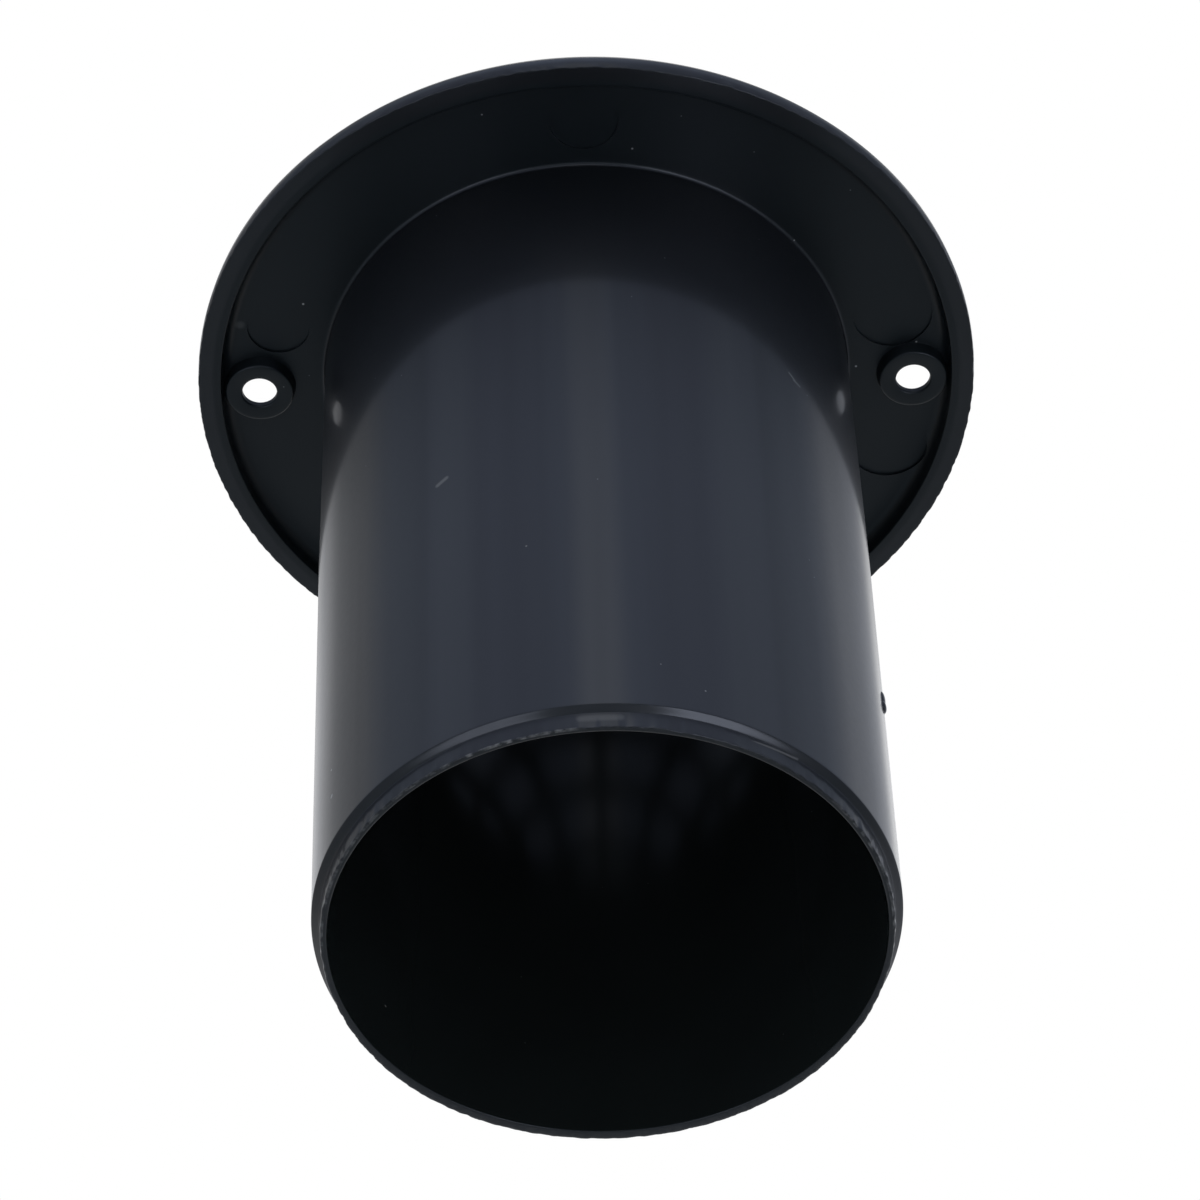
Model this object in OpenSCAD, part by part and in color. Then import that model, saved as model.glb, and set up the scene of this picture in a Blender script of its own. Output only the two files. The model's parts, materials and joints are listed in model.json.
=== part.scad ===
// Round floor vent for a caravan: a screwed flange with a grille, and a long spigot through the floor.
// It is one injection moulding. Z = 0 is the plane where the flange seats on the floor, the grille faces
// up (+Z), the spigot hangs down (-Z), and the two screw holes lie on the X axis.

/* [Flange] */
// Diameter of the flange, measured at its seat on the floor
flange_d = 90; // [84:1:110]
// Height of the flange from its seat to its front face
flange_h = 4; // [3.6:0.1:6]
// Radius that rounds the front edge of the flange
edge_r = 3; // [1:0.1:3]
// Thickness of the flange's web, between its hollow back and its front face
web_t = 1.8; // [1.4:0.1:2.2]
// Width of the skirt's lower face, which is all of the flange that touches the floor
skirt_w = 2.6; // [2:0.1:4]
// Draft of the skirt's inner wall, in degrees
skirt_draft = 8; // [1:1:12]

/* [Spigot] */
// Outside diameter of the spigot where its mouth is stepped down
spigot_d = 60; // [50:1:64]
// Length of the spigot below the seat
spigot_length = 90; // [60:1:120]
// Wall of the spigot at its mouth
spigot_wall = 1.6; // [1.2:0.1:2.4]
// Length of the straight outer wall below the seat, which registers in the floor
register_length = 34; // [20:1:40]
// Draft of the outer wall below the register, in degrees
outer_draft = 0.4; // [0.1:0.05:0.5]
// Length of the straight socket inside the mouth, which takes a duct
socket_length = 35; // [20:1:40]
// Draft of the bore above the socket, in degrees
bore_draft = 0.4; // [0.1:0.05:0.5]
// Radius of the fillet between the spigot and the web
root_r = 0.4; // [0.2:0.1:1.2]

/* [Mouth] */
// Length of the stepped-down end, from the step to the rim of the mouth
mouth_length = 2.3; // [1.5:0.1:6]
// Depth of the step in the outer wall
mouth_step = 0.8; // [0.3:0.1:1]
// Height of the sloping shoulder that makes the step
shoulder_h = 0.45; // [0.2:0.05:1.2]
// Taper of the stepped-down end, as the radius that it loses down to its rim
mouth_taper = 0.1; // [0:0.05:0.15]

/* [Screw holes] */
// Distance from the flange's edge to the middle of a screw hole
screw_inset = 7; // [6:0.5:9]
// Diameter of the screw holes
screw_d = 4; // [3:0.1:4.5]
// Diameter of the countersinks for the screw heads
head_d = 7.8; // [6:0.1:7.8]
// Depth of the straight wall above each countersink, so that a head lies below the front face
head_sink = 0.5; // [0.2:0.1:0.8]
// Included angle of the countersinks, in degrees
head_angle = 90; // [82:1:100]
// Height of the bosses round the holes, on the hollow back of the flange
boss_h = 1.4; // [1:0.1:1.5]
// Diameter of a boss at its end
boss_d = 7.8; // [7:0.1:9]
// Draft of the bosses, in degrees
boss_draft = 12; // [1:1:15]

/* [Grille] */
// Distance from the middle of one bar to the middle of the next, both ways
bar_pitch = 10; // [6:0.5:14]
// Width of the bars
bar_w = 2; // [1.4:0.1:3]
// Depth of the bars, from the front face down
bar_h = 2.6; // [1.8:0.1:6]
// Width of the solid ledge between the spigot's bore and the round field of the grille
ledge_w = 3; // [1:0.5:8]
// Radius of the corners of the openings
opening_r = 0.6; // [0.2:0.1:1]
// Shortest side that an opening at the edge of the field may have
opening_min = 2.6; // [1:0.1:5]

/* [Hidden] */
$fn = 120;

// Overlap that carries cuts past the faces they open
past = 1;

// Heights, from the seat
web_z = flange_h - web_t;
boss_z = web_z - boss_h;
bar_z = flange_h - bar_h;
register_z = -register_length;
mouth_z = -spigot_length;
socket_z = mouth_z + socket_length;
step_z = mouth_z + mouth_length;
shoulder_z = step_z - shoulder_h;

// Radii, from the middle line
flange_r = flange_d / 2;
skirt_r = flange_r - skirt_w;
step_r = spigot_d / 2;
register_r = step_r + (register_z - step_z) * tan(outer_draft);
socket_r = step_r - spigot_wall;
bore_top_r = socket_r - (bar_z - socket_z) * tan(bore_draft);
lip_top_r = step_r - mouth_step;
lip_rim_r = lip_top_r - mouth_taper;
field_r = bore_top_r - ledge_w;
screw_circle_r = flange_r - screw_inset;

// The openings are squares between the bars
opening_w = bar_pitch - bar_w;
bars_each_way = ceil(field_r / bar_pitch);

// Inner radius of the skirt at height z: its draft makes it widest at the seat
function skirt_r_at(z) = skirt_r - z * tan(skirt_draft);

// Half section of the flange before it is hollowed, with its rounded front edge
module flange_section() {
    square([flange_r, flange_h - edge_r]);
    square([flange_r - edge_r, flange_h]);
    intersection() {
        translate([flange_r - edge_r, flange_h - edge_r]) circle(r = edge_r);
        square([flange_r, flange_h]);
    }
}

// Half section of the hollow behind the web, out to the drafted wall of the skirt
module hollow_section() {
    polygon([
        [0, -past],
        [skirt_r_at(-past), -past],
        [skirt_r_at(web_z), web_z],
        [0, web_z]
    ]);
}

// Half section of the spigot before it is bored: straight through the floor, drafted below it,
// and stepped down at its end
module spigot_section() {
    polygon([
        [0, web_z],
        [register_r, web_z],
        [register_r, register_z],
        [step_r, step_z],
        [lip_top_r, shoulder_z],
        [lip_rim_r, mouth_z],
        [0, mouth_z]
    ]);
}

// Half section of the fillet where the spigot meets the web
module root_fillet_section() {
    difference() {
        translate([register_r - root_r, web_z - root_r]) square(2 * root_r);
        translate([register_r + root_r, web_z - root_r]) circle(r = root_r);
    }
}

// Half section of the bore: a straight socket at the mouth, then drafted up to the back of the grille
module bore_section() {
    polygon([
        [0, mouth_z - past],
        [socket_r, mouth_z - past],
        [socket_r, socket_z],
        [bore_top_r, bar_z],
        [0, bar_z]
    ]);
}

// Everything that is round: flange, skirt, spigot and the plate that the grille is cut from
module turned_body() {
    rotate_extrude() {
        difference() {
            union() {
                difference() {
                    flange_section();
                    hollow_section();
                }
                spigot_section();
                root_fillet_section();
            }
            bore_section();
        }
    }
}

// Drafted boss on the back of the web, where a screw goes through
module screw_boss() {
    base_d = boss_d + 2 * boss_h * tan(boss_draft);
    translate([0, 0, boss_z]) cylinder(h = boss_h, d1 = boss_d, d2 = base_d);
    translate([0, 0, web_z]) cylinder(h = web_t / 2, d = base_d);
}

// Screw hole with its countersink, cut from the front face down through the boss
module screw_cut() {
    cone_h = (head_d - screw_d) / 2 / tan(head_angle / 2);
    translate([0, 0, boss_z - past]) cylinder(h = flange_h + 2 * past, d = screw_d);
    translate([0, 0, flange_h - head_sink - cone_h]) cylinder(h = cone_h, d1 = screw_d, d2 = head_d);
    translate([0, 0, flange_h - head_sink]) cylinder(h = head_sink + past, d = head_d);
}

// Places its children at both screw holes
module at_screws() {
    for (side = [-1, 1]) {
        translate([side * screw_circle_r, 0, 0]) children();
    }
}

// Square with rounded corners, about its middle
module rounded_square(w, r) {
    square([w - 2 * r, w], center = true);
    square([w, w - 2 * r], center = true);
    for (x = [-1, 1], y = [-1, 1]) {
        translate([x * (w / 2 - r), y * (w / 2 - r)]) circle(r = r);
    }
}

// How far the opening in column i and row j reaches across the field, along its shorter side.
// Inner edges are the opening's own, and outer ones are the field's circle where that comes first.
function reach(i, j) =
    let (near_x = abs(i + 0.5) * bar_pitch - opening_w / 2)
    let (near_y = abs(j + 0.5) * bar_pitch - opening_w / 2)
    let (far_x = near_y < field_r ? sqrt(field_r ^ 2 - near_y ^ 2) : 0)
    let (far_y = near_x < field_r ? sqrt(field_r ^ 2 - near_x ^ 2) : 0)
    min(far_x - near_x, far_y - near_y);

// The openings of the grille: squares between the bars, cut off by the round edge of the field
module grille_openings() {
    linear_extrude(height = bar_h + 2 * past) {
        intersection() {
            circle(r = field_r);
            for (i = [-bars_each_way : bars_each_way - 1], j = [-bars_each_way : bars_each_way - 1]) {
                if (reach(i, j) >= opening_min) {
                    translate([(i + 0.5) * bar_pitch, (j + 0.5) * bar_pitch])
                        rounded_square(opening_w, opening_r);
                }
            }
        }
    }
}

// The whole moulding
module floor_vent() {
    color([0.12, 0.125, 0.14]) difference() {
        union() {
            turned_body();
            at_screws() screw_boss();
        }
        at_screws() screw_cut();
        translate([0, 0, bar_z - past]) grille_openings();
    }
}

floor_vent();
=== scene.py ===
"""Looks of a caravan floor vent: one black moulding with a screwed flange, a grille and a long spigot.

The vent stands in its installed frame. Z = 0 is the plane where the flange seats on the floor, the grille
faces up, the spigot hangs down, and the two screw holes lie on the X axis. All lengths are in metres.
"""

from __future__ import annotations

import json
import logging
import math
from dataclasses import dataclass, field
from enum import Enum
from typing import Any, Iterable, Sequence

import bmesh
import bpy
from mathutils import Matrix, Vector

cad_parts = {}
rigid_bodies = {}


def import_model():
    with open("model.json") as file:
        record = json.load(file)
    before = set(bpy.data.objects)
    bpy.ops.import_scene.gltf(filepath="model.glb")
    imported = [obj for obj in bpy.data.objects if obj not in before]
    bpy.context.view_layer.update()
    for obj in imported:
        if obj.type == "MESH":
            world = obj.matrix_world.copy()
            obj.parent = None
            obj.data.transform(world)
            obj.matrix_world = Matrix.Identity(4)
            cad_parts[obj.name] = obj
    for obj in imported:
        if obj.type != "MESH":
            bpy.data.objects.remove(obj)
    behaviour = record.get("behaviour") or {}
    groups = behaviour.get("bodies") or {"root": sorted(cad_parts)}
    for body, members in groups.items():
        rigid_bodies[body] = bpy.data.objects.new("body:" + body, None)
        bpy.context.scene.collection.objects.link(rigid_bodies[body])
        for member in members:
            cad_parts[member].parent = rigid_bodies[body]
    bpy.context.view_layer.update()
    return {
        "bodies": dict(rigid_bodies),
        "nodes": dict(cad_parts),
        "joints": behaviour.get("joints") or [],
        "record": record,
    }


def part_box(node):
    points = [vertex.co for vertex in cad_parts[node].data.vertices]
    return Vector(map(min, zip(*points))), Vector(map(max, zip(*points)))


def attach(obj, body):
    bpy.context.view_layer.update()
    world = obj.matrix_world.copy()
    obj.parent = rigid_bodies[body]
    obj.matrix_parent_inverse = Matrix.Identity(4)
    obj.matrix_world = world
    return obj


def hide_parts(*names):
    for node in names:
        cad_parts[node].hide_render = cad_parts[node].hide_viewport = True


LOG = logging.getLogger("floor_vent")
MM = 0.001
NODE = "floor_vent"
BODY = "root"

Point = tuple[float, float]


class Solver(Enum):
    """How two closed meshes are cut or joined."""

    CUT = "DIFFERENCE"
    JOIN = "UNION"
    COMMON = "INTERSECT"


@dataclass(frozen=True)
class Value:
    """A socket in a node tree, on which maths is written as Python expressions."""

    graph: "Graph"
    socket: bpy.types.NodeSocket

    def math(self, operation: str, *others: Any, swap: bool = False) -> "Value":
        """Adds one Math node.

        Args:
            operation: The node's operation.
            others: The other operands, as numbers or values.
            swap: Whether this value is the second operand.

        Returns:
            The node's result.
        """
        operands = (*others, self) if swap else (self, *others)
        return self.graph.node("ShaderNodeMath", {"operation": operation}, dict(enumerate(operands)))

    def __add__(self, other: Any) -> "Value":
        """Sum."""
        return self.math("ADD", other)

    __radd__ = __add__

    def __sub__(self, other: Any) -> "Value":
        """Difference."""
        return self.math("SUBTRACT", other)

    def __rsub__(self, other: Any) -> "Value":
        """Difference, with this value taken from a number."""
        return self.math("SUBTRACT", other, swap=True)

    def __mul__(self, other: Any) -> "Value":
        """Product."""
        return self.math("MULTIPLY", other)

    __rmul__ = __mul__

    def __truediv__(self, other: Any) -> "Value":
        """Quotient."""
        return self.math("DIVIDE", other)

    def __rtruediv__(self, other: Any) -> "Value":
        """Quotient, with this value below a number."""
        return self.math("DIVIDE", other, swap=True)

    def __pow__(self, other: Any) -> "Value":
        """Power."""
        return self.math("POWER", other)

    def __abs__(self) -> "Value":
        """Absolute value."""
        return self.math("ABSOLUTE")

    def __gt__(self, other: Any) -> "Value":
        """One where this value is the greater, else zero."""
        return self.math("GREATER_THAN", other)

    def __lt__(self, other: Any) -> "Value":
        """One where this value is the smaller, else zero."""
        return self.math("LESS_THAN", other)

    def larger(self, other: Any) -> "Value":
        """The larger of two values."""
        return self.math("MAXIMUM", other)

    def smaller(self, other: Any) -> "Value":
        """The smaller of two values."""
        return self.math("MINIMUM", other)

    def band(self, low: float, high: float) -> "Value":
        """Rises smoothly from 0 to 1, and falls where low is above high.

        Args:
            low: Where it is 0.
            high: Where it is 1.

        Returns:
            The share.
        """
        settings = {"interpolation_type": "SMOOTHSTEP"}
        if low < high:
            return self.graph.node("ShaderNodeMapRange", settings, {0: self, 1: low, 2: high, 3: 0.0, 4: 1.0})
        return self.graph.node("ShaderNodeMapRange", settings, {0: self, 1: high, 2: low, 3: 1.0, 4: 0.0})

    def near(self, centre: float, half: float, soft: float) -> "Value":
        """One within half of centre, falling to 0 over soft."""
        return abs(self - centre).band(half + soft, half)


class Graph:
    """A node tree that is written by calls, for shaders and for geometry."""

    def __init__(self, tree: bpy.types.NodeTree) -> None:
        """Starts with an empty tree."""
        self.tree = tree
        tree.nodes.clear()

    def node(self, kind: str, settings: dict[str, Any] | None = None,
             inputs: dict[Any, Any] | None = None, output: Any = 0) -> Value:
        """Adds one node.

        Args:
            kind: The node's type.
            settings: Its properties, set before its sockets.
            inputs: Values or links of its sockets, by name or place.
            output: Name or place of the output that is returned.

        Returns:
            That output.
        """
        made = self.tree.nodes.new(kind)
        for name, setting in (settings or {}).items():
            setattr(made, name, setting)
        for name, given in (inputs or {}).items():
            self.feed(made.inputs[name], given)
        return Value(self, made.outputs[output])

    def feed(self, socket: bpy.types.NodeSocket, given: Any) -> None:
        """Links a value to a socket, links several values to it, or sets its number.

        Args:
            socket: The socket.
            given: What it is given.
        """
        if isinstance(given, Value):
            self.tree.links.new(given.socket, socket)
        elif isinstance(given, (list, tuple)) and given and isinstance(given[0], Value):
            for one in given:
                self.tree.links.new(one.socket, socket)
        else:
            socket.default_value = given

    def close(self, kind: str, value: Value) -> None:
        """Adds an output node and links a value to its first socket."""
        self.tree.links.new(value.socket, self.tree.nodes.new(kind).inputs[0])

    def vector(self, operation: str, *operands: Any, output: Any = 0) -> Value:
        """Adds one Vector Math node."""
        return self.node("ShaderNodeVectorMath", {"operation": operation}, dict(enumerate(operands)), output)

    def parts(self, vector: Value) -> tuple[Value, Value, Value]:
        """Takes a vector apart.

        Args:
            vector: The vector.

        Returns:
            Its X, Y and Z.
        """
        first = self.node("ShaderNodeSeparateXYZ", inputs={0: vector})
        outputs = first.socket.node.outputs
        return first, Value(self, outputs[1]), Value(self, outputs[2])

    def mix(self, factor: Any, first: Any, second: Any) -> Value:
        """Mixes two colours."""
        return self.node("ShaderNodeMix", {"data_type": "RGBA"}, {0: factor, 6: first, 7: second}, 2)


def rgba(colour: Sequence[float]) -> tuple[float, float, float, float]:
    """A colour with full alpha."""
    return (*colour, 1.0)


class Section:
    """Half-section of a turned shape: a line in radius and height whose corners are rounded."""

    def __init__(self, corners: Iterable[tuple[float, float, float]], guard: float = 0.25 * MM) -> None:
        """Takes the corners.

        Args:
            corners: Radius, height and rounding of each corner, in order along the line.
            guard: Distance past each rounding of a point that keeps the face beyond it flat.
        """
        self.corners = list(corners)
        self.guard = guard

    def points(self) -> list[Point]:
        """Works the line out.

        Returns:
            Its points, with the roundings as arcs.
        """
        made: list[Point] = []
        for place, (radius, height, rounding) in enumerate(self.corners):
            at = Vector((radius, height))
            if rounding <= 0.0 or place in (0, len(self.corners) - 1):
                made.append((radius, height))
                continue
            before = Vector(self.corners[place - 1][:2]) - at
            after = Vector(self.corners[place + 1][:2]) - at
            made.extend(self._arc(at, before, after, rounding))
        return made

    def _arc(self, at: Vector, before: Vector, after: Vector, rounding: float) -> list[Point]:
        """The points of one rounded corner.

        Args:
            at: The corner.
            before: From the corner to the one before it.
            after: From the corner to the next one.
            rounding: Radius of the arc.

        Returns:
            A guard point, the arc, and a guard point.
        """
        one, two = before.normalized(), after.normalized()
        half = math.acos(max(-1.0, min(1.0, one.dot(two)))) / 2
        reach = rounding / math.tan(half)
        centre = at + (one + two).normalized() * (rounding / math.sin(half))
        start, end = at + one * reach - centre, at + two * reach - centre
        turn = start.angle_signed(end)
        steps = max(3, round(abs(turn) / math.radians(18)))
        arc = []
        for step in range(steps + 1):
            angle = -turn * step / steps
            arc.append(centre + Matrix.Rotation(angle, 2) @ start)
        if before.length > reach + 2 * self.guard:
            arc.insert(0, at + one * (reach + self.guard))
        if after.length > reach + 2 * self.guard:
            arc.append(at + two * (reach + self.guard))
        return [(point.x, point.y) for point in arc]

    def curve(self, name: str) -> bpy.types.Object:
        """Makes the half-section a curve whose X is the radius and whose Y is the height.

        Args:
            name: The curve's name.

        Returns:
            The curve's object.
        """
        data = bpy.data.curves.new(name, "CURVE")
        data.dimensions = "2D"
        points = self.points()
        spline = data.splines.new("POLY")
        spline.points.add(len(points) - 1)
        for point, (radius, height) in zip(spline.points, points):
            point.co = (radius, height, 0.0, 1.0)
        made = bpy.data.objects.new(name, data)
        bpy.context.scene.collection.objects.link(made)
        return made


@dataclass(frozen=True)
class VentSizes:
    """Driving sizes of the moulding."""

    flange_radius: float
    flange_height: float
    spigot_length: float
    register_radius: float
    register_length: float
    socket_radius: float
    socket_length: float
    screw_circle: float
    screw_radius: float
    edge_radius: float = 3.0 * MM
    web_height: float = 2.2 * MM
    skirt_radius: float = 42.4 * MM
    skirt_draft: float = math.radians(8)
    root_radius: float = 0.4 * MM
    step_radius: float = 30.0 * MM
    mouth_length: float = 2.3 * MM
    mouth_step: float = 0.8 * MM
    mouth_taper: float = 0.1 * MM
    shoulder_height: float = 0.45 * MM
    bore_top_radius: float = 28.0 * MM
    bar_depth: float = 2.6 * MM

    @classmethod
    def from_frame(cls, frame: dict[str, Any]) -> "VentSizes":
        """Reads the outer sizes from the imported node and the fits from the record's mounts.


        Returns:
            The sizes.
        """
        low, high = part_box(NODE)
        mounts = {mount["name"]: mount for mount in frame["record"]["mounts"]}
        spigot, duct = mounts["spigot"]["dims"], mounts["duct_bore"]["dims"]
        screws = mounts["screw_holes"]["dims"]
        root_radius = cls.__dataclass_fields__["root_radius"].default
        web_height = cls.__dataclass_fields__["web_height"].default
        return cls(
            flange_radius=high.x,
            flange_height=high.z,
            spigot_length=-low.z,
            register_radius=spigot["r_mm"] * MM,
            register_length=spigot["length_mm"] * MM - (web_height - root_radius),
            socket_radius=duct["r_mm"] * MM,
            socket_length=duct["length_mm"] * MM,
            screw_circle=screws["pcd_mm"] / 2 * MM,
            screw_radius=screws["hole_r_mm"] * MM,
        )


@dataclass(frozen=True)
class Openings:
    """Sizes of the grille's openings: squares between bars, cut off by the round edge of their field."""

    pitch: float = 10.0 * MM
    bar_width: float = 2.0 * MM
    ledge: float = 3.0 * MM
    corner: float = 0.6 * MM
    shortest: float = 2.6 * MM
    edge: float = 0.25 * MM
    corner_steps: int = 5
    edge_steps: int = 4

    def field_radius(self, sizes: VentSizes) -> float:
        """Radius of the round field."""
        return sizes.bore_top_radius - self.ledge

    def flare(self, low: float, high: float, past: float) -> list[Point]:
        """How far a cutter stands out, and at what height, from below the bars to above them.

        Args:
            low: Height of the back of the bars.
            high: Height of their front.
            past: How far the cutter runs past both.

        Returns:
            Pairs of stand-out and height, which round the edges of the bars.
        """
        steps = [math.pi / 2 * step / self.edge_steps for step in range(self.edge_steps + 1)]
        back = [(self.edge * (1 - math.sin(a)), low + self.edge * (1 - math.cos(a))) for a in steps]
        front = [(out, high - (height - low)) for out, height in reversed(back)]
        return [(self.edge, low - past), *back, *front, (self.edge, high + past)]

    def outline(self, out: float) -> list[Point]:
        """One opening's outline, about its middle.

        Args:
            out: How far the outline stands outside the opening.

        Returns:
            Its points, round the square with rounded corners.
        """
        rounding = self.corner + out
        middle = (self.pitch - self.bar_width) / 2 + out - rounding
        made = []
        for quarter in range(4):
            turn = math.pi / 2 * quarter
            centre = Matrix.Rotation(turn, 2) @ Vector((middle, middle))
            for step in range(self.corner_steps + 1):
                angle = turn + math.pi / 2 * step / self.corner_steps
                made.append((centre.x + rounding * math.cos(angle), centre.y + rounding * math.sin(angle)))
        return made

    def plug(self, sizes: VentSizes, past: float) -> bpy.types.Object:
        """The cutter of one opening, as a closed mesh.

        Args:
            sizes: The moulding's sizes.
            past: How far it runs past the bars.

        Returns:
            The cutter, about the Z axis.
        """
        mesh = bmesh.new()
        low = sizes.flange_height - sizes.bar_depth
        rings = []
        for out, height in self.flare(low, sizes.flange_height, past):
            rings.append([mesh.verts.new((x, y, height)) for x, y in self.outline(out)])
        for lower, upper in zip(rings, rings[1:]):
            for place in range(len(lower)):
                after = (place + 1) % len(lower)
                mesh.faces.new((lower[place], lower[after], upper[after], upper[place]))
        mesh.faces.new(list(reversed(rings[0])))
        mesh.faces.new(rings[-1])
        return mesh_object("opening_plug", mesh)

    def middles(self, sizes: VentSizes) -> list[Point]:
        """Finds the openings whose shorter side inside the field is long enough.

        Args:
            sizes: The moulding's sizes.

        Returns:
            Their middles.
        """
        reach = math.ceil(self.field_radius(sizes) / self.pitch)
        steps = range(-reach, reach)
        return [
            ((column + 0.5) * self.pitch, (row + 0.5) * self.pitch)
            for column in steps
            for row in steps
            if self._shorter_side(column, row, self.field_radius(sizes)) >= self.shortest
        ]

    def _shorter_side(self, column: int, row: int, radius: float) -> float:
        """How far an opening reaches inside the field from its inner corner, along its shorter side.

        Args:
            column: The opening's column, from the middle.
            row: Its row, from the middle.
            radius: Radius of the field.

        Returns:
            The length of that side.
        """
        half = (self.pitch - self.bar_width) / 2
        near_x = abs(column + 0.5) * self.pitch - half
        near_y = abs(row + 0.5) * self.pitch - half
        far_x = math.sqrt(radius**2 - near_y**2) if near_y < radius else 0.0
        far_y = math.sqrt(radius**2 - near_x**2) if near_x < radius else 0.0
        return min(far_x - near_x, far_y - near_y)


def mesh_object(name: str, mesh: bmesh.types.BMesh) -> bpy.types.Object:
    """Turns a bmesh into an object in the scene.

    Args:
        name: The object's name.
        mesh: Its shape, which is freed.

    Returns:
        The object.
    """
    data = bpy.data.meshes.new(name)
    mesh.to_mesh(data)
    mesh.free()
    made = bpy.data.objects.new(name, data)
    bpy.context.scene.collection.objects.link(made)
    return made


def point_object(name: str, places: Iterable[Sequence[float]],
                 reaches: Iterable[float] = ()) -> bpy.types.Object:
    """Makes an object of loose points, on which a tree sets its copies.

    Args:
        name: The object's name.
        places: The points.
        reaches: Radius of the copy on each point, kept as the attribute "reach".

    Returns:
        The object.
    """
    mesh = bmesh.new()
    layer = mesh.verts.layers.float.new("reach")
    points = [mesh.verts.new(place) for place in places]
    for point, reach in zip(points, reaches):
        point[layer] = reach
    return mesh_object(name, mesh)


class Recipe(Graph):
    """A Geometry Nodes tree with named inputs, which turns a start object into a plain mesh."""

    def __init__(self, name: str) -> None:
        """Starts the tree with its geometry input."""
        super().__init__(bpy.data.node_groups.new(name, "GeometryNodeTree"))
        self.inputs: dict[str, Any] = {}
        self.tree.interface.new_socket(name="Geometry", in_out="INPUT", socket_type="NodeSocketGeometry")
        self.tree.interface.new_socket(name="Geometry", in_out="OUTPUT", socket_type="NodeSocketGeometry")
        self._entry = self.tree.nodes.new("NodeGroupInput")
        self._exit = self.tree.nodes.new("NodeGroupOutput")
        self.start = Value(self, self._entry.outputs[0])

    def given(self, name: str, kind: str, value: Any) -> Value:
        """Adds one named input.

        Args:
            name: Its name.
            kind: Its socket type, such as Float, Int, Object or Material.
            value: What the modifier gives it.

        Returns:
            The input, for use in the tree.
        """
        socket = self.tree.interface.new_socket(name=name, in_out="INPUT", socket_type=f"NodeSocket{kind}")
        self.inputs[socket.identifier] = value
        return Value(self, next(out for out in self._entry.outputs if out.identifier == socket.identifier))

    def model(self, name: str, made: bpy.types.Object) -> Value:
        """The geometry of another object, through a named input."""
        given = self.given(name, "Object", made)
        return self.node("GeometryNodeObjectInfo", {}, {"Object": given}, "Geometry")

    def turned(self, section: Value, segments: Value, spindle: Value, caps: Sequence[Point] = ()) -> Value:
        """Turns a half-section round the Z axis.

        Args:
            section: The half-section's curve.
            segments: How many flats the turned shape has.
            spindle: Radius of the circle that the section is carried along.
            caps: Radius and height of the flat discs that close it, top one first, where it stops short
                of the axis.

        Returns:
            The turned mesh, closed.
        """
        shift = self.node("ShaderNodeCombineXYZ", {}, {0: 0.0 - spindle})
        placed = self.node("GeometryNodeTransform", {}, {
            "Geometry": section, "Translation": shift, "Scale": (1.0, -1.0, 1.0)})
        circle = self.node("GeometryNodeCurvePrimitiveCircle", {}, {
            "Resolution": segments, "Radius": spindle})
        pieces = [self.node("GeometryNodeCurveToMesh", {}, {"Curve": circle, "Profile Curve": placed})]
        for place, (radius, height) in enumerate(caps):
            disc = self.node("GeometryNodeMeshCircle", {"fill_type": "NGON"}, {
                "Vertices": segments, "Radius": radius})
            raised = self.node("GeometryNodeTransform", {}, {"Geometry": disc, "Translation": (0, 0, height)})
            pieces.append(raised if place == 0 else self.node("GeometryNodeFlipFaces", {}, {"Mesh": raised}))
        joined = self.node("GeometryNodeJoinGeometry", {}, {0: pieces})
        return self.node("GeometryNodeMergeByDistance", {}, {"Geometry": joined, "Distance": 0.002 * MM})

    def copies(self, places: Value, model: Value, sized: bool = False) -> Value:
        """Sets a copy of a model on each point, as real geometry.

        Args:
            places: The mesh that has the points.
            model: What is copied.
            sized: Whether each copy is scaled across by its point's "reach".

        Returns:
            The copies.
        """
        inputs = {"Points": self.node("GeometryNodeMeshToPoints", {}, {"Mesh": places}), "Instance": model}
        if sized:
            reach = self.node("GeometryNodeInputNamedAttribute", {"data_type": "FLOAT"}, {"Name": "reach"})
            inputs["Scale"] = self.node("ShaderNodeCombineXYZ", {}, {0: reach, 1: reach, 2: 1.0})
        placed = self.node("GeometryNodeInstanceOnPoints", {}, inputs)
        return self.node("GeometryNodeRealizeInstances", {}, {0: placed})

    def solid(self, way: Solver, *meshes: Value) -> Value:
        """Cuts or joins closed meshes.

        Args:
            way: What is done with them.
            meshes: The meshes; the first is cut by the others.

        Returns:
            The result.
        """
        settings = {"operation": way.value, "solver": "MANIFOLD"}
        if way is Solver.CUT:
            return self.node("GeometryNodeMeshBoolean", settings, {0: meshes[0], 1: list(meshes[1:])})
        return self.node("GeometryNodeMeshBoolean", settings, {1: list(meshes)})

    def moved(self, geometry: Value, offset: Value) -> Value:
        """Moves each vertex by an offset."""
        return self.node("GeometryNodeSetPosition", {}, {"Geometry": geometry, "Offset": offset})

    def painted(self, geometry: Value, finish: Value, where: Any = True) -> Value:
        """Gives faces a material."""
        return self.node("GeometryNodeSetMaterial", {}, {
            "Geometry": geometry, "Selection": where, "Material": finish})

    def run(self, result: Value, start: bpy.types.Object, name: str) -> bpy.types.Object:
        """Runs the tree on the start object.

        Args:
            result: What the tree gives out.
            start: The object whose geometry goes in.
            name: Name of the new object.

        Returns:
            A new object with a plain mesh and no modifier.
        """
        self.tree.links.new(result.socket, self._exit.inputs[0])
        modifier = start.modifiers.new(self.tree.name, "NODES")
        modifier.node_group = self.tree
        for identifier, value in self.inputs.items():
            modifier[identifier] = value
        return baked(start, name)


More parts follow.
